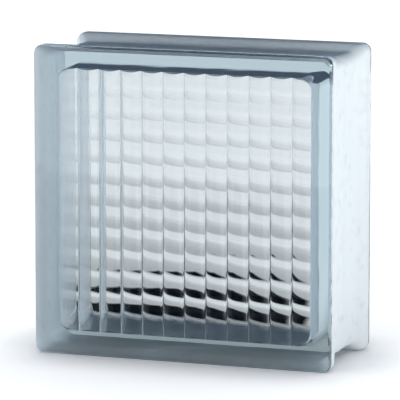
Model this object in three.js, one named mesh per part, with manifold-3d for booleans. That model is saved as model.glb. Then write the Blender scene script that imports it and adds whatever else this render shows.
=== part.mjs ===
import * as THREE from 'three';
import { mergeVertices } from 'three/addons/utils/BufferGeometryUtils.js';
import Module from 'manifold-3d';

// Hollow glass building block, in millimetres: two pressed trays of clear glass, fused rim to rim.
// +X is to the right of the front face, the front face looks along -Y, and the block stands on
// the flanges of its bottom edge at Z = 0. The inner faces are fluted, upright in the front half
// and level in the back half, so that the two sets cross.

// ---- Driving dimensions ----

// Whole block
const FACE_SIZE = 190; // width and height over the flanges
const BLOCK_DEPTH = 80; // front face to back face

// Flange round each face, and the mortar channel between the two flanges
const FLANGE_LAND = 7; // flat part of the flange's edge, from the face inwards
const FLANGE_STEP = 13; // run of the curve from the land down to the channel floor
const FLANGE_CORNER = 5.5; // corner radius of the face, seen from the front
const FACE_EDGE_ROUND = 1.5; // fire-polished edge of the face
const CHANNEL_DEPTH = 4.7; // how far the channel floor lies inside the land
const CHANNEL_CORNER = 6.5; // corner radius of the channel floor, seen from the front

// Bead squeezed out where the two rims were fused
const BEAD_HEIGHT = 0.4; // above the channel floor
const BEAD_HALF_WIDTH = 1; // along Y, in each half

// Cavity
const RIM_WALL = 8; // side wall, measured at the seam
const WALL_DRAFT = THREE.MathUtils.degToRad(2.5); // taper that frees the plunger
const FACE_WALL = 7.5; // glass of the face at the bottom of a flute
const CAVITY_CORNER = 7; // corner radius of the cavity, seen from the front
const CAVITY_FILLET = 2.5; // between the side walls and the fluted face
const FILLET_SINK = 0.4; // how far the fillet's foot would lie below the bottom of the flutes

// Flutes
const FLUTE_PITCH = 13.7;
const FLUTE_DEPTH = 1.5; // from a ridge to the bottom of a flute
const RIDGE_FLAT = 0.4; // width left on the top of a ridge

// Fineness of the curves
const CORNER_FACES = 8; // in each corner of the block
const EDGE_FACES = 4; // in the polished edge of the face
const STEP_FACES = 8; // in the flange's step
const BEAD_FACES = 2; // in half of the bead
const FILLET_FACES = 6; // in the cavity's fillet
const FLUTE_FACES = 10; // across one flute

// Spare length of a cutter beyond the solid that it cuts
const CUT_MARGIN = 1;

// ---- Derived sizes, in the frame of one half: Y runs from the face to the seam at 0 ----

const faceY = -BLOCK_DEPTH / 2;
const faceHalf = FACE_SIZE / 2;
const landEndY = faceY + FLANGE_LAND;
const channelStartY = landEndY + FLANGE_STEP;
const channelHalf = faceHalf - CHANNEL_DEPTH;
const fluteBottomY = faceY + FACE_WALL;
const ridgeY = fluteBottomY + FLUTE_DEPTH;
const cavitySeamHalf = channelHalf - RIM_WALL;

// Half-width of the cavity at a given depth, between its tapered walls
function cavityHalfAt(y) {
  return cavitySeamHalf + y * Math.tan(WALL_DRAFT);
}

const wasm = await Module();
wasm.setup();

// ---- Solids ----

// A closed three.js geometry as a solid: only positions kept, shared corners merged and the
// triangles that collapsed on the axis or in a sharp corner left out
function toSolid(geometry) {
  const bare = geometry.clone();
  bare.deleteAttribute('normal');
  bare.deleteAttribute('uv');
  const merged = mergeVertices(bare);
  const corners = merged.index.array;
  const kept = [];
  for (let i = 0; i < corners.length; i += 3) {
    const [a, b, c] = corners.slice(i, i + 3);
    if (a !== b && b !== c && c !== a) {
      kept.push(a, b, c);
    }
  }
  return new wasm.Manifold(new wasm.Mesh({
    numProp: 3,
    vertProperties: Float32Array.from(merged.attributes.position.array),
    triVerts: Uint32Array.from(kept),
  }));
}

function toGeometry(solid) {
  const mesh = solid.getMesh();
  const geometry = new THREE.BufferGeometry();
  geometry.setAttribute('position', new THREE.BufferAttribute(mesh.vertProperties, 3));
  geometry.setIndex(new THREE.BufferAttribute(mesh.triVerts, 1));
  geometry.computeVertexNormals();
  return geometry;
}

// One point of a profile: half-width of the square, place along Y and corner radius
function station(halfWidth, y, corner) {
  return { halfWidth, y, corner };
}

function stationsAlong(curve, divisions, cornerAt) {
  return curve.getPoints(divisions).map((point) => station(point.x, point.y, cornerAt(point.x)));
}

// Turns a profile round the Y axis and spreads the turned shape to a square with round corners.
// Each quarter of the turn becomes one corner, and the flat sides open up between the quarters.
function turnSquare(stations) {
  const columnsPerCorner = CORNER_FACES + 1;
  const profile = stations.map(({ halfWidth, y }) => new THREE.Vector2(halfWidth, y));
  const geometry = new THREE.LatheGeometry(profile, 4 * columnsPerCorner);
  const position = geometry.attributes.position;
  for (let i = 0; i < position.count; i += 1) {
    const { halfWidth, y, corner } = stations[i % stations.length];
    const column = Math.floor(i / stations.length) % (4 * columnsPerCorner);
    const quarter = Math.floor(column / columnsPerCorner);
    const step = column % columnsPerCorner;
    const angle = (quarter + step / CORNER_FACES) * (Math.PI / 2);
    const middle = (quarter + 0.5) * (Math.PI / 2);
    const radius = Math.min(corner, halfWidth);
    const spread = halfWidth - radius;
    const x = Math.sign(Math.sin(middle)) * spread + radius * Math.sin(angle);
    const z = Math.sign(Math.cos(middle)) * spread + radius * Math.cos(angle);
    position.setXYZ(i, x, y, z);
  }
  return toSolid(geometry);
}

// Outside of one half, still without its cavity: polished edge, land, curved step, channel, bead
function outerForm() {
  const edgeCentre = new THREE.Vector2(faceHalf - FACE_EDGE_ROUND, faceY + FACE_EDGE_ROUND);
  const edge = new THREE.EllipseCurve(
    edgeCentre.x, edgeCentre.y, FACE_EDGE_ROUND, FACE_EDGE_ROUND, -Math.PI / 2, 0,
  );
  const step = new THREE.CubicBezierCurve(
    new THREE.Vector2(faceHalf, landEndY),
    new THREE.Vector2(faceHalf, landEndY + FLANGE_STEP / 2),
    new THREE.Vector2(channelHalf, channelStartY - FLANGE_STEP / 2),
    new THREE.Vector2(channelHalf, channelStartY),
  );
  const bead = new THREE.EllipseCurve(
    channelHalf, 0, BEAD_HEIGHT, BEAD_HALF_WIDTH, -Math.PI / 2, 0,
  );
  const parallelToFlange = (halfWidth) => FLANGE_CORNER - (faceHalf - halfWidth);
  const towardsChannel = (halfWidth) => THREE.MathUtils.mapLinear(
    halfWidth, faceHalf, channelHalf, FLANGE_CORNER, CHANNEL_CORNER,
  );
  const parallelToChannel = (halfWidth) => CHANNEL_CORNER + (halfWidth - channelHalf);
  return turnSquare([
    station(0, faceY, 0),
    ...stationsAlong(edge, EDGE_FACES, parallelToFlange),
    ...stationsAlong(step, STEP_FACES, towardsChannel),
    ...stationsAlong(bead, BEAD_FACES, parallelToChannel),
    station(0, 0, 0),
  ]);
}

// Space left by the plunger if its nose were plain: tapered walls and a fillet round the face
function plainCavity() {
  const noseY = fluteBottomY - FILLET_SINK;
  const filletY = noseY + CAVITY_FILLET;
  const filletHalf = cavityHalfAt(filletY) - CAVITY_FILLET / Math.cos(WALL_DRAFT);
  const fillet = new THREE.EllipseCurve(
    filletHalf, filletY, CAVITY_FILLET, CAVITY_FILLET, -Math.PI / 2, -WALL_DRAFT,
  );
  const cornerAt = (halfWidth) => CAVITY_CORNER + (halfWidth - cavityHalfAt(filletY));
  return turnSquare([
    station(0, noseY, 0),
    ...stationsAlong(fillet, FILLET_FACES, cornerAt),
    station(cavityHalfAt(CUT_MARGIN), CUT_MARGIN, cornerAt(cavityHalfAt(CUT_MARGIN))),
    station(0, CUT_MARGIN, 0),
  ]);
}

// Everything on the cavity's side of the fluted face. The flutes run along Z, are centred on
// the block, and there are as many as the cavity is wide.
function flutedSpace() {
  const fluteCount = 2 * Math.ceil(cavityHalfAt(ridgeY) / FLUTE_PITCH);
  const fieldHalf = fluteCount * FLUTE_PITCH / 2;
  const chordHalf = (FLUTE_PITCH - RIDGE_FLAT) / 2;
  const radius = (chordHalf ** 2 + FLUTE_DEPTH ** 2) / (2 * FLUTE_DEPTH);
  const sweep = Math.asin(chordHalf / radius);
  const reach = faceHalf;
  const outline = new THREE.Shape();
  outline.moveTo(-reach, 2 * CUT_MARGIN);
  outline.lineTo(-reach, ridgeY);
  for (let n = 0; n < fluteCount; n += 1) {
    const middle = -fieldHalf + (n + 0.5) * FLUTE_PITCH;
    outline.lineTo(middle - chordHalf, ridgeY);
    outline.absarc(
      middle, fluteBottomY + radius, radius, -Math.PI / 2 - sweep, -Math.PI / 2 + sweep,
    );
  }
  outline.lineTo(reach, ridgeY);
  outline.lineTo(reach, 2 * CUT_MARGIN);
  const geometry = new THREE.ExtrudeGeometry(outline, {
    depth: FACE_SIZE,
    bevelEnabled: false,
    curveSegments: FLUTE_FACES / 2,
  });
  geometry.translate(0, 0, -faceHalf);
  return toSolid(geometry);
}

// One pressed tray, centred on the block's axis, with its face at -Y and its rim at Y = 0
function pressedTray() {
  const cavity = plainCavity().intersect(flutedSpace());
  return toGeometry(outerForm().subtract(cavity));
}

// ---- Object ----

const trayGeometry = pressedTray();

function half(name, color) {
  const glass = new THREE.MeshStandardMaterial({
    color,
    roughness: 0.03,
    metalness: 0,
    transparent: true,
    opacity: 0.35,
  });
  const mesh = new THREE.Mesh(trayGeometry, glass);
  mesh.name = name;
  return mesh;
}

const block = new THREE.Group();
block.position.z = faceHalf;

const frontHalf = half('front_half', '#d3dfe3');
block.add(frontHalf);

// The same pressing, turned a quarter about Y so that its flutes lie level, and then half a turn
// about X so that the two rims meet
const backHalf = half('back_half', '#cbd9de');
backHalf.rotation.set(Math.PI, Math.PI / 2, 0);
block.add(backHalf);

export default block;
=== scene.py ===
import math

import bmesh
import bpy
from bpy.props import FloatProperty, FloatVectorProperty, IntProperty, PointerProperty
from mathutils import Matrix, Vector
from mathutils.geometry import interpolate_bezier


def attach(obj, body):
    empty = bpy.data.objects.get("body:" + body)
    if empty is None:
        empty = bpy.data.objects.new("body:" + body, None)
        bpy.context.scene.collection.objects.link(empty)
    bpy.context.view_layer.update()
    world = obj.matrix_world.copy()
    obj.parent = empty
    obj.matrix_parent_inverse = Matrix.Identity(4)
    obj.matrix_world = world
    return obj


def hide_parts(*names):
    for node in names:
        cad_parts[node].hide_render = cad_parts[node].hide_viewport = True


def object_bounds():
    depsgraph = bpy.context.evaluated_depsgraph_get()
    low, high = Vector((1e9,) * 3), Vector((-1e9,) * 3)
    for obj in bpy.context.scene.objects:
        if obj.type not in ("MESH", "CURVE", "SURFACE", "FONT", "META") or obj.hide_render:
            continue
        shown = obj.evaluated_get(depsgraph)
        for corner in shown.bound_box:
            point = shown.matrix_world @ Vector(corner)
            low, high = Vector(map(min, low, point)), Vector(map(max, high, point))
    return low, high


bl_info = {
    "name": "Glass Block",
    "version": (1, 0, 0),
    "blender": (4, 5, 0),
    "location": "View3D > Sidebar > Glass Block",
    "description": "Builds a hollow fluted glass block from its pressed halves and lights it",
    "category": "Object",
}

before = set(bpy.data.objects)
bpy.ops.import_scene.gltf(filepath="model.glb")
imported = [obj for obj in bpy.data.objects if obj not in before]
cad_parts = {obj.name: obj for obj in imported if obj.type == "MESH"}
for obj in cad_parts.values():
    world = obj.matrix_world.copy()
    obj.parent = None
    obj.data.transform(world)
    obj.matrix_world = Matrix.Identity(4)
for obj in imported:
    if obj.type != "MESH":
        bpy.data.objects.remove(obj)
cad_low, cad_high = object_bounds()

BLOCK_NODES = ("front_half", "back_half")

# ---------------------------------------------------------------- fixed values

UPRIGHT = Matrix.Rotation(math.pi / 2, 4, "X")  # lays a flat grid's plane across the Y axis
NEAR = 1e-6  # metres; what is closer counts as touching
WHITE = (1.0, 1.0, 1.0)
# Black of the sheets that paint shadow and a dark reflection for the glass
BLACK = (0.002, 0.002, 0.003)

# Fineness of the curves, in faces
EDGE_STEPS = 8  # in the polished edge of a face
STEP_STEPS = 16  # in the flange's step
BEAD_STEPS = 4  # in half of the bead
FILLET_STEPS = 12  # in the cavity's fillet
FLUTE_STEPS = 20  # across a flute
RIDGE_STEPS = 12  # over the rounding of a ridge
HALVINGS = 40  # to find where the fillet meets the flutes

# Noise in the glass and its coating: scale and detail
WAVES = (45.0, 1.0)
WANDERING = (180.0, 3.0)
PATCHES = (130.0, 4.0)
PATCH_RANGE = (0.5, 0.8)  # of the noise, from full cover to the thinnest

# Depth of the outer skin that the coating may lie on, so that the cavity stays clear
COATED_SKIN = 0.002

# Weight of large faces against small ones where their normals are averaged, at its most
FLAT_FACE_WEIGHT = 100

# Between which places the floor's painted light and shade for the glass changes, in metres
FRONT_ON_Y = (0.12, -0.04)
FAR_ON_Y = (0.05, 0.7)
RIGHT_ON_X = (0.08, 0.15)

# Where the windows and the backdrop fade in, as components of the direction's unit vector
RIGHT_WINDOW_FADE = (0.45, 0.7)
LEFT_WINDOW_FADE = (0.5, 0.8)
LEFT_WINDOW_FRONT = (0.4, 0.1)
BACKDROP_FADE = (0.3, 0.6)
WINDOW_SOFT = 0.04  # half of the fade at a window's upper edge
BACKDROP_SOFT = 0.03  # the same for the backdrop

# Studio
FLOOR_REACH = 6.0  # metres, to each side
OPENNESS_SAMPLES = 8  # rays that find how open a place on the floor is
# Height of the black sheets that paint shadow and reflection
PAINTED_SHEET_HEIGHT = 0.0005  # metres above the floor
SENSOR_WIDTH = 36.0  # millimetres
CAMERA_REACH = 50.0  # metres


# ---------------------------------------------------------------- sizes and colours


class GlassBlockSizes(bpy.types.PropertyGroup):
    """Sizes of one pressed half; the overall size comes from the bounds of model.glb"""

    edge_round: FloatProperty(
        name="Edge round", description="Radius of the fire-polished edge of a face",
        default=0.0015, unit="LENGTH",
    )
    land: FloatProperty(
        name="Flange land", description="Flat part of the flange's edge, from the face inwards",
        default=0.007, unit="LENGTH",
    )
    step: FloatProperty(
        name="Flange step", description="Run of the curve from the land to the channel floor",
        default=0.013, unit="LENGTH",
    )
    flange_corner: FloatProperty(
        name="Flange corner", description="Corner radius of a face",
        default=0.0055, unit="LENGTH",
    )
    channel_depth: FloatProperty(
        name="Channel depth", description="From the flange land down to the channel floor",
        default=0.0047, unit="LENGTH",
    )
    channel_corner: FloatProperty(
        name="Channel corner", description="Corner radius of the channel floor",
        default=0.0065, unit="LENGTH",
    )
    bead_height: FloatProperty(
        name="Bead height", description="Height of the bead squeezed out where the halves fused",
        default=0.0004, unit="LENGTH",
    )
    bead_half_width: FloatProperty(
        name="Bead half width", description="Width of the bead in each half",
        default=0.001, unit="LENGTH",
    )
    rim_wall: FloatProperty(
        name="Rim wall", description="Thickness of the side walls at the seam",
        default=0.008, unit="LENGTH",
    )
    wall_draft: FloatProperty(
        name="Wall draft", description="Taper of the cavity's side walls",
        default=math.radians(2.5), subtype="ANGLE",
    )
    face_wall: FloatProperty(
        name="Face wall", description="Glass of a face at the bottom of a flute",
        default=0.0075, unit="LENGTH",
    )
    cavity_corner: FloatProperty(
        name="Cavity corner", description="Corner radius of the cavity",
        default=0.007, unit="LENGTH",
    )
    cavity_fillet: FloatProperty(
        name="Cavity fillet", description="Fillet between the side walls and the fluted face",
        default=0.0025, unit="LENGTH",
    )
    fillet_sink: FloatProperty(
        name="Fillet sink", description="How far the fillet's foot lies below the flute bottoms",
        default=0.0004, unit="LENGTH",
    )
    flute_pitch: FloatProperty(
        name="Flute pitch", description="Distance between the ridges of two flutes",
        default=0.0137, unit="LENGTH",
    )
    flute_depth: FloatProperty(
        name="Flute depth", description="From the top of a ridge to the bottom of a flute",
        default=0.0015, unit="LENGTH",
    )
    ridge_radius: FloatProperty(
        name="Ridge radius", description="Rounding of the top of a ridge in the front half",
        default=0.00095, unit="LENGTH",
    )
    ridge_side: FloatProperty(
        name="Ridge side", description="How steep that rounding gets at its sides",
        default=math.radians(60), subtype="ANGLE",
    )
    back_ridge_radius: FloatProperty(
        name="Back ridge radius", description="Rounding of the top of a ridge in the back half",
        default=0.0025, unit="LENGTH",
    )
    back_ridge_side: FloatProperty(
        name="Back ridge side", description="How steep that rounding gets at its sides",
        default=math.radians(24), subtype="ANGLE",
    )
    corner_steps: IntProperty(
        name="Corner steps", description="Faces round each corner of the block", default=16,
    )


class GlassFinish(bpy.types.PropertyGroup):
    """Clear pressed glass and the coating painted round the block's edge"""

    ior: FloatProperty(name="IOR", description="Refractive index of the glass", default=1.52)
    tint: FloatVectorProperty(
        name="Tint", description="What colour a thick part of the glass takes",
        subtype="COLOR", size=3, min=0.0, max=1.0, default=(0.43, 0.61, 0.68),
    )
    density: FloatProperty(
        name="Density", description="How fast the tint grows with thickness, per metre",
        default=12.0,
    )
    coating: FloatVectorProperty(
        name="Coating", description="Colour of the coating that lets mortar grip the edge",
        subtype="COLOR", size=3, min=0.0, max=1.0, default=(0.86, 0.90, 0.92),
    )
    coating_cover: FloatProperty(
        name="Coating cover", description="How much of the glass the thin coating hides",
        subtype="FACTOR", min=0.0, max=1.0, default=0.95,
    )
    coating_thin: FloatProperty(
        name="Thin spots", description="How much less the coating covers where it is thin",
        subtype="FACTOR", min=0.0, max=1.0, default=0.1,
    )
    coating_bare: FloatProperty(
        name="Bare edge", description="Width of clear glass left between a face and the coating",
        default=0.003, unit="LENGTH",
    )
    coating_wander: FloatProperty(
        name="Coating wander", description="How far the coating's edge wanders",
        default=0.0012, unit="LENGTH",
    )
    coating_glow: FloatProperty(
        name="Coating glow", description="Share of the light that passes through the coating",
        subtype="FACTOR", min=0.0, max=1.0, default=0.39,
    )
    coating_cast: FloatVectorProperty(
        name="Coating cast", description="Colour of the light that passes through the coating",
        subtype="COLOR", size=3, min=0.0, max=1.0, default=(0.80, 0.89, 0.96),
    )
    ripple: FloatProperty(
        name="Ripple", description="Height of the slight waves that pressing leaves in the glass",
        default=0.00015, unit="LENGTH",
    )


class StudioSetup(bpy.types.PropertyGroup):
    """Camera, light, floor, backdrop and the black sheets that paint shadow and reflection"""

    azimuth: FloatProperty(
        name="Azimuth", description="How far to the right of the front face the camera stands",
        default=math.radians(19.96), subtype="ANGLE",
    )
    elevation: FloatProperty(
        name="Elevation", description="How far the camera looks down",
        default=math.radians(9.18), subtype="ANGLE",
    )
    distance: FloatProperty(
        name="Distance", description="From the camera to the middle of the block",
        default=2.175, unit="LENGTH",
    )
    aim_aside: FloatProperty(
        name="Aim aside", description="How far right of the block's middle the camera aims",
        default=-0.0018, unit="LENGTH",
    )
    aim_up: FloatProperty(
        name="Aim up", description="How far above the block's middle the camera aims",
        default=-0.0013, unit="LENGTH",
    )
    lens: FloatProperty(
        name="Lens", description="Focal length in millimetres on a 36 mm sensor",
        default=320.2,
    )
    floor_color: FloatVectorProperty(
        name="Floor", description="Colour of the floor paper",
        subtype="COLOR", size=3, min=0.0, max=1.0, default=(0.9, 0.9, 0.9),
    )
    # The white glow is darkened near the block by how open each place is: a painted soft shadow
    # over the real one of the diffuse paper
    floor_white: FloatProperty(
        name="Floor white", description="White added where the camera sees the floor itself",
        default=1.05,
    )
    # Painted light and shade of the floor as the glass sees it: a glow in this colour, darkest
    # close behind the block, brighter further back, to the right and in front
    floor_cast: FloatVectorProperty(
        name="Floor cast", description="Colour in which the glass sees the floor",
        subtype="COLOR", size=3, min=0.0, max=1.0, default=(0.92, 0.97, 1.0),
    )
    floor_behind: FloatProperty(
        name="Floor behind",
        description="Brightness at which the glass sees the floor close behind the block",
        default=0.5,
    )
    floor_far: FloatProperty(
        name="Floor far", description="The same for the floor further back",
        default=0.9,
    )
    floor_right: FloatProperty(
        name="Floor right", description="The same for the floor behind and to the right",
        default=1.05,
    )
    floor_front: FloatProperty(
        name="Floor front", description="The same for the floor in front, where the light falls",
        default=1.05,
    )
    # Openness within these reaches darkens the floor's glows near the block: painted soft and
    # contact shadow
    shadow_reach: FloatProperty(
        name="Shadow reach", description="How far the block's soft shadow spreads on the floor",
        default=0.8, unit="LENGTH",
    )
    contact_reach: FloatProperty(
        name="Contact reach", description="How far the glass sees the dark gap under the block",
        default=0.05, unit="LENGTH",
    )
    window_right: FloatProperty(
        name="Right window", description="Brightness of the low soft window at the right",
        default=13.8,
    )
    window_left: FloatProperty(
        name="Left window", description="Brightness of the low soft window at the left",
        default=22.0,
    )
    window_seen: FloatProperty(
        name="Window seen",
        description="Brightness at which the glass shows the windows, 1 being white",
        default=1.0,
    )
    window_top: FloatProperty(
        name="Window top", description="Height of the windows, as an angle above the horizon",
        default=math.radians(6), subtype="ANGLE",
    )
    right_azimuth: FloatProperty(
        name="Right azimuth", description="Middle of the right window, from the front",
        default=math.radians(80), subtype="ANGLE",
    )
    backdrop: FloatVectorProperty(
        name="Backdrop", description="Colour of the backdrop behind the block",
        subtype="COLOR", size=3, min=0.0, max=1.0, default=(0.82, 0.87, 0.90),
    )
    backdrop_top: FloatProperty(
        name="Backdrop top", description="Height of the backdrop, as an angle above the horizon",
        default=math.radians(8), subtype="ANGLE",
    )
    room: FloatVectorProperty(
        name="Room", description="Colour of the room above the windows and the backdrop",
        subtype="COLOR", size=3, min=0.0, max=1.0, default=(0.015, 0.045, 0.09),
    )
    # A black sheet behind the block, seen only by the glass, is a painted shadow; these are its
    # edges and softness
    shadow_sheet_left: FloatProperty(
        name="Flag left", description="Left edge of the black flag behind the block",
        default=-0.135, unit="LENGTH",
    )
    shadow_sheet_right: FloatProperty(
        name="Flag right", description="Right edge of the black flag behind the block",
        default=0.066, unit="LENGTH",
    )
    shadow_sheet_tip: FloatProperty(
        name="Flag tip", description="Where the black flag reaches furthest back, across",
        default=-0.055, unit="LENGTH",
    )
    shadow_sheet_left_slope: FloatProperty(
        name="Flag left slope", description="How steeply the left edge rises to that tip",
        default=0.9,
    )
    shadow_sheet_right_slope: FloatProperty(
        name="Flag right slope", description="How steeply the right edge falls from that tip",
        default=0.33,
    )
    shadow_sheet_gap: FloatProperty(
        name="Flag gap", description="From the block's back to the near edge of the flag",
        default=0.02, unit="LENGTH",
    )
    shadow_sheet_depth: FloatProperty(
        name="Flag depth", description="From the block's back to the far tip of the flag",
        default=0.135, unit="LENGTH",
    )
    shadow_sheet_soft: FloatProperty(
        name="Flag soft", description="Width of the flags' soft edges",
        default=0.025, unit="LENGTH",
    )
    # A black sheet in front of the block, seen only by the glass, paints a dark reflection in the
    # front face
    painted_reflection_sheet: FloatVectorProperty(
        name="Mirror flag", description="Left, right, near and far edge of the black flag whose "
        "mirror image darkens the front face",
        subtype="NONE", size=4, default=(-0.45, 0.20, -0.03, -0.75), unit="LENGTH",
    )
    mirror_soft: FloatProperty(
        name="Mirror flag soft", description="Width of the front flag's soft edges",
        default=0.12, unit="LENGTH",
    )


# ---------------------------------------------------------------- making shapes


def link(name, data):
    """A new object at the origin that holds this mesh or camera"""
    obj = bpy.data.objects.new(name, data)
    bpy.context.scene.collection.objects.link(obj)
    return obj


def plate(name, across, along, height, material):
    """A level sheet between two places on X and two on Y"""
    mesh = bpy.data.meshes.new(name)
    bm = bmesh.new()
    bmesh.ops.create_grid(bm, x_segments=1, y_segments=1, size=0.5)
    bmesh.ops.scale(bm, verts=bm.verts, vec=(across[1] - across[0], along[1] - along[0], 1))
    middle = (sum(across) / 2, sum(along) / 2, height)
    bmesh.ops.translate(bm, verts=bm.verts, vec=middle)
    bm.to_mesh(mesh)
    bm.free()
    mesh.materials.append(material)
    return link(name, mesh)


def quarter(centre, radii, steps):
    """Points of a quarter ellipse in the plane of half-width and depth, from its least depth to
    its greatest half-width"""
    angles = [math.pi / 2 * (n / steps - 1) for n in range(steps + 1)]
    return [
        (centre[0] + radii[0] * math.cos(a), centre[1] + radii[1] * math.sin(a)) for a in angles
    ]


def rounded_square(bm, half, y, corner, steps):
    """Adds a square face across the Y axis with round corners; returns the face"""
    before = set(bm.faces)
    made = bmesh.ops.create_grid(
        bm, x_segments=1, y_segments=1, size=half, matrix=Matrix.Translation((0, y, 0)) @ UPRIGHT,
    )
    bmesh.ops.bevel(
        bm, geom=made["verts"], offset=corner, offset_type="OFFSET", affect="VERTICES",
        segments=steps, profile=0.5, material=-1,
    )
    return (set(bm.faces) - before).pop()


def lofted(stations, steps, capped):
    """Rounded squares at (half-width, depth, corner radius) joined into a skin, closed at the
    first one if capped"""
    bm = bmesh.new()
    squares = [rounded_square(bm, half, y, corner, steps) for half, y, corner in stations]
    for first, second in zip(squares, squares[1:]):
        bmesh.ops.bridge_loops(bm, edges=first.edges[:] + second.edges[:])
    unwanted = squares[1 if capped else 0:]
    bmesh.ops.delete(bm, geom=unwanted, context="FACES_ONLY")
    return bm


def loop_edges(bm, y):
    """Edges that lie at one depth"""
    return [e for e in bm.edges if all(abs(v.co.y - y) < NEAR for v in e.verts)]


def new_of(kind, geometry):
    """Only the vertices or only the edges of what a bmesh operator made"""
    return [item for item in geometry if isinstance(item, kind)]


def outer_skin(sizes, half_width, face_y):
    """Outside of one half: face, polished edge, land, step, channel floor and bead"""
    land_end = face_y + sizes.land
    channel_half = half_width - sizes.channel_depth
    channel_start = land_end + sizes.step
    edge_centre = (half_width - sizes.edge_round, face_y + sizes.edge_round)
    edge = quarter(edge_centre, (sizes.edge_round, sizes.edge_round), EDGE_STEPS)
    step = interpolate_bezier(
        Vector((half_width, land_end)),
        Vector((half_width, land_end + sizes.step / 2)),
        Vector((channel_half, channel_start - sizes.step / 2)),
        Vector((channel_half, channel_start)),
        STEP_STEPS + 1,
    )
    bead = quarter((channel_half, 0), (sizes.bead_height, sizes.bead_half_width), BEAD_STEPS)

    def towards_channel(half):
        share = (half_width - half) / sizes.channel_depth
        return sizes.flange_corner + share * (sizes.channel_corner - sizes.flange_corner)

    stations = [(h, y, sizes.flange_corner - (half_width - h)) for h, y in edge]
    stations += [(h, y, towards_channel(h)) for h, y in step]
    stations += [(h, y, sizes.channel_corner + (h - channel_half)) for h, y in bead]
    return lofted(stations, sizes.corner_steps, capped=True)


class Flutes:
    """Section across the fluted face: hollow flutes with a narrow round ridge between them"""

    def __init__(self, sizes, ridge, face_y, reach):
        self.pitch = sizes.flute_pitch
        self.ridge_radius, self.ridge_side = ridge
        self.bottom = face_y + sizes.face_wall
        half_pitch = self.pitch / 2
        depth = sizes.flute_depth
        self.flute_radius = (half_pitch ** 2 + depth ** 2) / (2 * depth)
        self.joint = self.ridge_radius * math.sin(self.ridge_side)
        self.flute_side = math.asin((half_pitch - self.joint) / self.flute_radius)
        joint_y = self.bottom + self.flute_radius * (1 - math.cos(self.flute_side))
        self.ridge_centre_y = joint_y - self.ridge_radius * math.cos(self.ridge_side)
        self.count = 2 * math.ceil(reach / self.pitch)

    def depth(self, x):
        """Y of the glass at x; a ridge stands at every multiple of the pitch"""
        from_ridge = abs(x - self.pitch * round(x / self.pitch))
        if from_ridge < self.joint:
            return self.ridge_centre_y + math.sqrt(self.ridge_radius ** 2 - from_ridge ** 2)
        from_middle = self.pitch / 2 - from_ridge
        rise = self.flute_radius - math.sqrt(self.flute_radius ** 2 - from_middle ** 2)
        return self.bottom + rise

    def columns(self, reach):
        """Places across the face where the section gets a point, within reach of the middle"""
        found = []
        for n in range(-self.count // 2, self.count // 2 + 1):
            ridge = n * self.pitch
            for k in range(RIDGE_STEPS):
                angle = self.ridge_side * (2 * k / RIDGE_STEPS - 1)
                found.append(ridge + self.ridge_radius * math.sin(angle))
            middle = ridge + self.pitch / 2
            for k in range(FLUTE_STEPS):
                angle = self.flute_side * (2 * k / FLUTE_STEPS - 1)
                found.append(middle + self.flute_radius * math.sin(angle))
        return [x for x in found if abs(x) < reach]


class Fillet:
    """Arc from the tapered walls towards the fluted face, which ends where it meets the flutes"""

    def __init__(self, sizes, flutes, seam_half):
        self.flutes = flutes
        self.radius = sizes.cavity_fillet
        self.start = sizes.wall_draft
        self.lead = self.radius * math.cos(self.start)
        self.centre_y = flutes.bottom - sizes.fillet_sink + self.radius
        self.wall_half = seam_half + self.centre_y * math.tan(self.start)
        self.foot_half = self.wall_half - self.radius / math.cos(self.start) + self.lead
        self.foot_y = self.centre_y - self.radius * math.sin(self.start)

    def place(self, foot, outward, angle):
        """Point at this angle of the arc that starts at a point of the foot"""
        point = foot - (self.lead - self.radius * math.cos(angle)) * outward
        point.y = self.centre_y - self.radius * math.sin(angle)
        return point

    def end(self, foot, outward):
        """Angle at which that arc meets the flutes"""
        low, high = self.start, math.pi / 2
        for _ in range(HALVINGS):
            middle = (low + high) / 2
            point = self.place(foot, outward, middle)
            if point.y > self.flutes.depth(point.x):
                low = middle
            else:
                high = middle
        return low


def split_level_sides(bm, fillet, columns):
    """Gives the level sides of the fillet's foot a point at each of the flutes' columns"""
    for sign in (-1, 1):
        side = [
            e for e in loop_edges(bm, fillet.foot_y)
            if all(v.co.z * sign > fillet.foot_half - NEAR for v in e.verts)
        ]
        cut = bmesh.ops.subdivide_edges(bm, edges=side, cuts=len(columns))
        new = new_of(bmesh.types.BMVert, cut["geom_inner"])
        for vert, x in zip(sorted(new, key=lambda v: v.co.x), columns):
            vert.co.x = x


def roll_fillet(bm, fillet, side_reach):
    """Rolls the fillet out from its foot to the flutes; returns the edges where they meet"""
    foot = bm.verts.layers.float_vector.new("foot")
    outward = bm.verts.layers.float_vector.new("outward")
    end = bm.verts.layers.float.new("end")
    ring = loop_edges(bm, fillet.foot_y)
    for vert in {v for e in ring for v in e.verts}:
        nearest = Vector((
            max(-side_reach, min(side_reach, vert.co.x)), vert.co.y,
            max(-side_reach, min(side_reach, vert.co.z)),
        ))
        vert[foot] = vert.co
        vert[outward] = (vert.co - nearest).normalized()
        vert[end] = fillet.end(vert[foot], vert[outward])
    for n in range(1, FILLET_STEPS + 1):
        made = bmesh.ops.extrude_edge_only(bm, edges=ring)["geom"]
        new = set(new_of(bmesh.types.BMVert, made))
        for vert in new:
            angle = fillet.start + (vert[end] - fillet.start) * n / FILLET_STEPS
            vert.co = fillet.place(vert[foot], vert[outward], angle)
        ring = [e for e in new_of(bmesh.types.BMEdge, made) if set(e.verts) <= new]
    for name in ("foot", "outward"):
        bm.verts.layers.float_vector.remove(bm.verts.layers.float_vector[name])
    bm.verts.layers.float.remove(bm.verts.layers.float["end"])
    return ring


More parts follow.
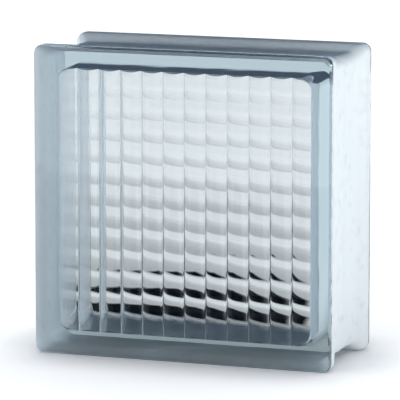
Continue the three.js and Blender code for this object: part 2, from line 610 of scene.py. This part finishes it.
def cavity_skin(sizes, ridge, half_width, face_y):
    """Inside of one half: tapered walls, the fillet round the face, and the fluted face, whose
    ridges have this rounding and side angle"""
    seam_half = half_width - sizes.channel_depth - sizes.rim_wall
    flutes = Flutes(sizes, ridge, face_y, seam_half)
    fillet = Fillet(sizes, flutes, seam_half)

    def station(half, y):
        return half, y, sizes.cavity_corner + (half - fillet.wall_half)

    foot = station(fillet.foot_half, fillet.foot_y)
    bm = lofted([station(seam_half, 0), foot], sizes.corner_steps, capped=False)
    side_reach = fillet.foot_half - foot[2]
    split_level_sides(bm, fillet, flutes.columns(side_reach))
    ring = roll_fillet(bm, fillet, side_reach)
    for edge in ring:
        edge.smooth = False
    upper = [e for e in ring if all(v.co.z > 0 for v in e.verts)]
    lower = [e for e in ring if all(v.co.z < 0 for v in e.verts)]
    bmesh.ops.bridge_loops(bm, edges=upper + lower)  # the fluted face, a strip to each column
    return bm


def add_skin(bm, added):
    """Moves all of one bmesh into another"""
    mesh = bpy.data.meshes.new("added")
    added.to_mesh(mesh)
    added.free()
    bm.from_mesh(mesh)
    bpy.data.meshes.remove(mesh)


def fused(front, back):
    """The front half with the back half turned to face backwards, a quarter turned, and welded
    to it along the rims"""
    matrix = Matrix.Rotation(math.pi, 3, "X") @ Matrix.Rotation(math.pi / 2, 3, "Y")
    bmesh.ops.rotate(back, verts=back.verts, cent=(0, 0, 0), matrix=matrix)
    add_skin(front, back)
    rim = [v for v in front.verts if abs(v.co.y) < NEAR]
    bmesh.ops.remove_doubles(front, verts=rim, dist=NEAR)
    bmesh.ops.recalc_face_normals(front, faces=front.faces)
    return front


def block_mesh(sizes, half_width, face_y):
    """The whole block: its outside, and the sealed cavity with its skin turned inwards"""
    crisp = (sizes.ridge_radius, sizes.ridge_side)
    soft = (sizes.back_ridge_radius, sizes.back_ridge_side)
    block = fused(
        outer_skin(sizes, half_width, face_y),
        outer_skin(sizes, half_width, face_y),
    )
    cavity = fused(
        cavity_skin(sizes, crisp, half_width, face_y),
        cavity_skin(sizes, soft, half_width, face_y),
    )
    bmesh.ops.reverse_faces(cavity, faces=cavity.faces)
    add_skin(block, cavity)
    bmesh.ops.translate(block, verts=block.verts, vec=(0, 0, half_width))
    for face in block.faces:
        face.smooth = True
    mesh = bpy.data.meshes.new("fused_glass")
    block.to_mesh(mesh)
    block.free()
    return mesh


# ---------------------------------------------------------------- shader maths


class Value:
    """A socket that can be used in a Python expression"""

    def __init__(self, nodes, socket):
        self.nodes = nodes
        self.socket = socket

    def math(self, operation, other=None, swap=False):
        """This value and perhaps another in a Math node"""
        terms = [other, self] if swap else [self, other]
        return self.nodes.add(
            "ShaderNodeMath", {"operation": operation},
            {n: term for n, term in enumerate(terms) if term is not None},
        )["Value"]

    def __add__(self, other):
        return self.math("ADD", other)

    def __sub__(self, other):
        return self.math("SUBTRACT", other)

    def __rsub__(self, other):
        return self.math("SUBTRACT", other, swap=True)

    def __mul__(self, other):
        return self.math("MULTIPLY", other)

    __radd__ = __add__
    __rmul__ = __mul__

    def between(self, start, end):
        """0 at start, 1 at end and a smooth rise from one to the other"""
        return self.nodes.add(
            "ShaderNodeMapRange", {"interpolation_type": "SMOOTHSTEP"},
            {"Value": self, "From Min": start, "From Max": end},
        )["Result"]

    def below(self, limit, soft):
        """1 well below the limit, 0 well above it, and a smooth fall over twice the soft width"""
        return self.between(limit + soft, limit - soft)

    def towards(self, other, share):
        """This value where share is 0 and the other one where it is 1"""
        return self + (other - self) * share


class Nodes:
    """The emptied node tree of a material or a world"""

    def __init__(self, owner):
        owner.use_nodes = True
        self.tree = owner.node_tree
        self.tree.nodes.clear()

    def add(self, kind, settings=None, inputs=None):
        """Adds a node; returns its outputs by name"""
        node = self.tree.nodes.new(kind)
        for name, value in (settings or {}).items():
            setattr(node, name, value)
        for name, value in (inputs or {}).items():
            if isinstance(value, Value):
                self.tree.links.new(value.socket, node.inputs[name])
            else:
                node.inputs[name].default_value = value
        return {output.name: Value(self, output) for output in node.outputs if output.enabled}

    def mix(self, factor, first, second):
        """One shader, or the other where factor is 1"""
        return self.add("ShaderNodeMixShader", inputs={0: factor, 1: first, 2: second})["Shader"]

    def colored(self, kind, color):
        """A shader of one colour"""
        return self.add(kind, inputs={"Color": (*color, 1)})["BSDF"]

    def parts(self, vector):
        """The three numbers of a vector"""
        split = self.add("ShaderNodeSeparateXYZ", inputs={"Vector": vector})
        return split["X"], split["Y"], split["Z"]

    def noise(self, place, pattern):
        """Noise of this scale and detail"""
        scale, detail = pattern
        return self.add("ShaderNodeTexNoise", inputs={
            "Vector": place, "Scale": scale, "Detail": detail,
        })["Fac"]


# ---------------------------------------------------------------- materials and light


def clear_glass(finish, half_depth, half_width, channel_half):
    """Clear glass whose tint grows with its thickness, coated on the outside of its edge"""
    material = bpy.data.materials.new("clear_glass")
    nodes = Nodes(material)
    place = nodes.add("ShaderNodeTexCoord")["Object"]
    x, y, z = nodes.parts(place)
    from_axis = x.math("ABSOLUTE").math("MAXIMUM", (z - half_width).math("ABSOLUTE"))
    on_edge = from_axis.math("GREATER_THAN", channel_half - COATED_SKIN)
    wander = finish.coating_wander
    from_middle = y.math("ABSOLUTE") + wander * nodes.noise(place, WANDERING)
    limit = half_depth - finish.coating_bare
    coated = on_edge * from_middle.between(limit + wander, limit)
    wavy = nodes.add("ShaderNodeBump", inputs={
        "Height": nodes.noise(place, WAVES), "Strength": 1.0, "Distance": finish.ripple,
    })["Normal"]
    glass = nodes.add("ShaderNodeBsdfPrincipled", inputs={
        "Normal": wavy,
        "Base Color": (*WHITE, 1),
        "Roughness": 0.0,
        "IOR": finish.ior,
        "Transmission Weight": 1.0,
    })["BSDF"]
    paint = nodes.mix(
        finish.coating_glow,
        nodes.colored("ShaderNodeBsdfDiffuse", finish.coating),
        nodes.colored("ShaderNodeBsdfTranslucent", finish.coating_cast),
    )
    thin_spots = nodes.noise(place, PATCHES).between(*PATCH_RANGE)
    cover = coated * (finish.coating_cover - finish.coating_thin * thin_spots)
    volume = nodes.add("ShaderNodeVolumeAbsorption", inputs={
        "Color": (*finish.tint, 1),
        "Density": finish.density,
    })["Volume"]
    nodes.add("ShaderNodeOutputMaterial", inputs={
        "Surface": nodes.mix(cover, glass, paint), "Volume": volume,
    })
    return material


def floor_paper(setup):
    """Pale paper that looks white and keeps the block's soft shadow, real in its diffuse part and
    painted into its white glow; the glass sees it as a glow with painted shade close behind the
    block and painted light further back, to the right and in front"""
    material = bpy.data.materials.new("floor_paper")
    nodes = Nodes(material)

    def open_within(reach):
        return nodes.add(
            "ShaderNodeAmbientOcclusion", {"samples": OPENNESS_SAMPLES}, {"Distance": reach},
        )["AO"]

    def glow(color, strength):
        return nodes.add(
            "ShaderNodeEmission", inputs={"Color": (*color, 1), "Strength": strength},
        )["Emission"]

    # Painted shade: openness near the block darkens both glows, a soft shadow and a contact
    # shadow
    contact = open_within(setup.contact_reach)
    shadow = open_within(setup.shadow_reach) * contact
    direct = nodes.add("ShaderNodeAddShader", inputs={
        0: nodes.colored("ShaderNodeBsdfDiffuse", setup.floor_color),
        1: glow(WHITE, shadow * setup.floor_white),
    })["Shader"]
    x, y, _ = nodes.parts(nodes.add("ShaderNodeTexCoord")["Object"])
    # Painted light and shade for the glass: darker close behind the block, brighter further back,
    # to the right and in front
    to_far = (setup.floor_far - setup.floor_behind) * y.between(*FAR_ON_Y)
    behind = (setup.floor_behind + to_far).towards(setup.floor_right, x.between(*RIGHT_ON_X))
    level = behind + (setup.floor_front - setup.floor_behind) * y.between(*FRONT_ON_Y)
    through_glass = glow(setup.floor_cast, contact * level)
    by_camera = nodes.add("ShaderNodeLightPath")["Is Camera Ray"]
    surface = nodes.mix(by_camera, through_glass, direct)
    nodes.add("ShaderNodeOutputMaterial", inputs={"Surface": surface})
    return material


def painted_dark_sheet(name, outside):
    """Black sheet that paints shadow or a dark reflection for the glass: black, and clear where a
    distance past the soft edge is more than 0; outside gets the place's x and y and returns that
    distance and the edge's width"""
    material = bpy.data.materials.new(name)
    nodes = Nodes(material)
    x, y, _ = nodes.parts(nodes.add("ShaderNodeTexCoord")["Object"])
    distance, soft = outside(x, y)
    clear = nodes.add("ShaderNodeBsdfTransparent")["BSDF"]
    black = nodes.colored("ShaderNodeBsdfDiffuse", BLACK)
    surface = nodes.mix(distance.between(-soft, 0), black, clear)
    nodes.add("ShaderNodeOutputMaterial", inputs={"Surface": surface})
    return material


def direction_from(azimuth, elevation):
    """Unit vector from the block towards this azimuth, right of the front, and elevation"""
    level = math.cos(elevation)
    return Vector((math.sin(azimuth) * level, -math.cos(azimuth) * level, math.sin(elevation)))


def studio_world(setup):
    """A low soft window at each side and a pale backdrop behind, in a dark room, all of which
    the camera itself sees as white"""
    world = bpy.data.worlds.new("studio")
    nodes = Nodes(world)
    right, behind, up = nodes.parts(nodes.add("ShaderNodeTexCoord")["Generated"])
    ray = nodes.add("ShaderNodeLightPath")

    def light(color, strength):
        return nodes.add(
            "ShaderNodeBackground", inputs={"Color": (*color, 1), "Strength": strength},
        )["Background"]

    def window(strength):
        through_glass = light(WHITE, setup.window_seen)
        return nodes.mix(ray["Is Transmission Ray"], light(WHITE, strength), through_glass)

    low = up.below(math.sin(setup.window_top), WINDOW_SOFT)
    middle = direction_from(setup.right_azimuth, 0)
    on_right = (right * middle.x + behind * middle.y).between(*RIGHT_WINDOW_FADE)
    on_left = (right * -1).between(*LEFT_WINDOW_FADE) * behind.between(*LEFT_WINDOW_FRONT)
    under_top = up.below(math.sin(setup.backdrop_top), BACKDROP_SOFT)
    on_backdrop = behind.between(*BACKDROP_FADE) * under_top
    sky = nodes.mix(on_backdrop, light(setup.room, 1.0), light(setup.backdrop, 1.0))
    sky = nodes.mix(on_right * low, sky, window(setup.window_right))
    sky = nodes.mix(on_left * low, sky, window(setup.window_left))
    surface = nodes.mix(ray["Is Camera Ray"], sky, light(WHITE, 1.0))
    nodes.add("ShaderNodeOutputWorld", inputs={"Surface": surface})
    return world


def painted_shadow_sheet(setup, back):
    """Black sheet behind the block, a painted shadow for the glass, whose far edge slants down to
    both sides of its tip
    """
    tip = back + setup.shadow_sheet_depth

    def outside(x, y):
        from_tip = x - setup.shadow_sheet_tip
        past_right = y - (tip - setup.shadow_sheet_right_slope * from_tip)
        past_left = y - (tip + setup.shadow_sheet_left_slope * from_tip)
        slanted = past_right.math("MAXIMUM", past_left)
        return slanted.math("MAXIMUM", x - setup.shadow_sheet_right), setup.shadow_sheet_soft

    return plate(
        "painted_shadow_sheet", (setup.shadow_sheet_left, setup.shadow_sheet_right), (back + setup.shadow_sheet_gap, tip),
        PAINTED_SHEET_HEIGHT, painted_dark_sheet("painted_shadow_sheet", outside),
    )


def painted_reflection_sheet(setup):
    """Black sheet in front of the block, a painted dark reflection, where the glass of the front
    face mirrors it
    """
    left, right, near, far = setup.painted_reflection_sheet

    def outside(x, y):
        aside = (x - (left + right) / 2).math("ABSOLUTE") - (right - left) / 2
        along = (y - (near + far) / 2).math("ABSOLUTE") - (near - far) / 2
        return aside.math("MAXIMUM", along), setup.mirror_soft

    return plate(
        "painted_reflection_sheet", (left, right), (far, near), PAINTED_SHEET_HEIGHT,
        painted_dark_sheet("painted_reflection_sheet", outside),
    )


def studio_camera(setup, middle):
    """Camera that looks at the middle of the block, a little aside"""
    camera = link("camera", bpy.data.cameras.new("camera"))
    camera.data.lens = setup.lens
    camera.data.sensor_width = SENSOR_WIDTH
    camera.data.clip_end = CAMERA_REACH
    backwards = direction_from(setup.azimuth, setup.elevation)
    turn = backwards.to_track_quat("Z", "Y")
    aim = middle + turn @ Vector((setup.aim_aside, setup.aim_up, 0))
    camera.rotation_euler = turn.to_euler()
    camera.location = aim + setup.distance * backwards
    return camera


# ---------------------------------------------------------------- operators


class GLASSBLOCK_OT_block(bpy.types.Operator):
    """Make the fused glass block from its two pressed halves"""

    bl_idname = "glassblock.block"
    bl_label = "Make Block"

    def execute(self, context):
        sizes = context.scene.glass_block_sizes
        half_width = (cad_high.x - cad_low.x) / 2
        half_depth = -cad_low.y
        channel_half = half_width - sizes.channel_depth
        block = link("fused_glass", block_mesh(sizes, half_width, -half_depth))
        normals = block.modifiers.new("flat_faces_stay_flat", "WEIGHTED_NORMAL")
        normals.keep_sharp = True
        normals.weight = FLAT_FACE_WEIGHT
        block.data.materials.append(
            clear_glass(context.scene.glass_finish, half_depth, half_width, channel_half)
        )
        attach(block, "root")
        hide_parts(*BLOCK_NODES)
        return {"FINISHED"}


class GLASSBLOCK_OT_studio(bpy.types.Operator):
    """Set the floor, the light, the camera and the black sheets that paint shadow and reflection
    """

    bl_idname = "glassblock.studio"
    bl_label = "Set Studio"

    def execute(self, context):
        setup = context.scene.studio_setup
        across = (-FLOOR_REACH, FLOOR_REACH)
        plate("floor", across, across, 0, floor_paper(setup))
        # Both black sheets are seen only by the glass: a painted shadow behind, a painted dark
        # reflection in front
        for flag in (painted_shadow_sheet(setup, cad_high.y), painted_reflection_sheet(setup)):
            flag.visible_camera = False
            flag.visible_shadow = False
            flag.visible_diffuse = False
        context.scene.world = studio_world(setup)
        context.scene.camera = studio_camera(setup, (cad_low + cad_high) / 2)
        context.scene.view_settings.view_transform = "Standard"
        return {"FINISHED"}


class GLASSBLOCK_PT_panel(bpy.types.Panel):
    """The block's operators and sizes"""

    bl_label = "Glass Block"
    bl_idname = "GLASSBLOCK_PT_panel"
    bl_space_type = "VIEW_3D"
    bl_region_type = "UI"
    bl_category = "Glass Block"

    def draw(self, context):
        for operator in OPERATORS:
            self.layout.operator(operator.bl_idname)
        for name, group in SETTINGS.items():
            for setting in group.__annotations__:
                self.layout.prop(getattr(context.scene, name), setting)


OPERATORS = (GLASSBLOCK_OT_block, GLASSBLOCK_OT_studio)
SETTINGS = {
    "glass_block_sizes": GlassBlockSizes,
    "glass_finish": GlassFinish,
    "studio_setup": StudioSetup,
}
CLASSES = (*SETTINGS.values(), *OPERATORS, GLASSBLOCK_PT_panel)


def register():
    for cls in CLASSES:
        bpy.utils.register_class(cls)
    for name, group in SETTINGS.items():
        setattr(bpy.types.Scene, name, PointerProperty(type=group))


def unregister():
    for name in SETTINGS:
        delattr(bpy.types.Scene, name)
    for cls in reversed(CLASSES):
        bpy.utils.unregister_class(cls)


def main():
    register()
    bpy.ops.glassblock.block()
    bpy.ops.glassblock.studio()


if __name__ == "__main__":
    main()
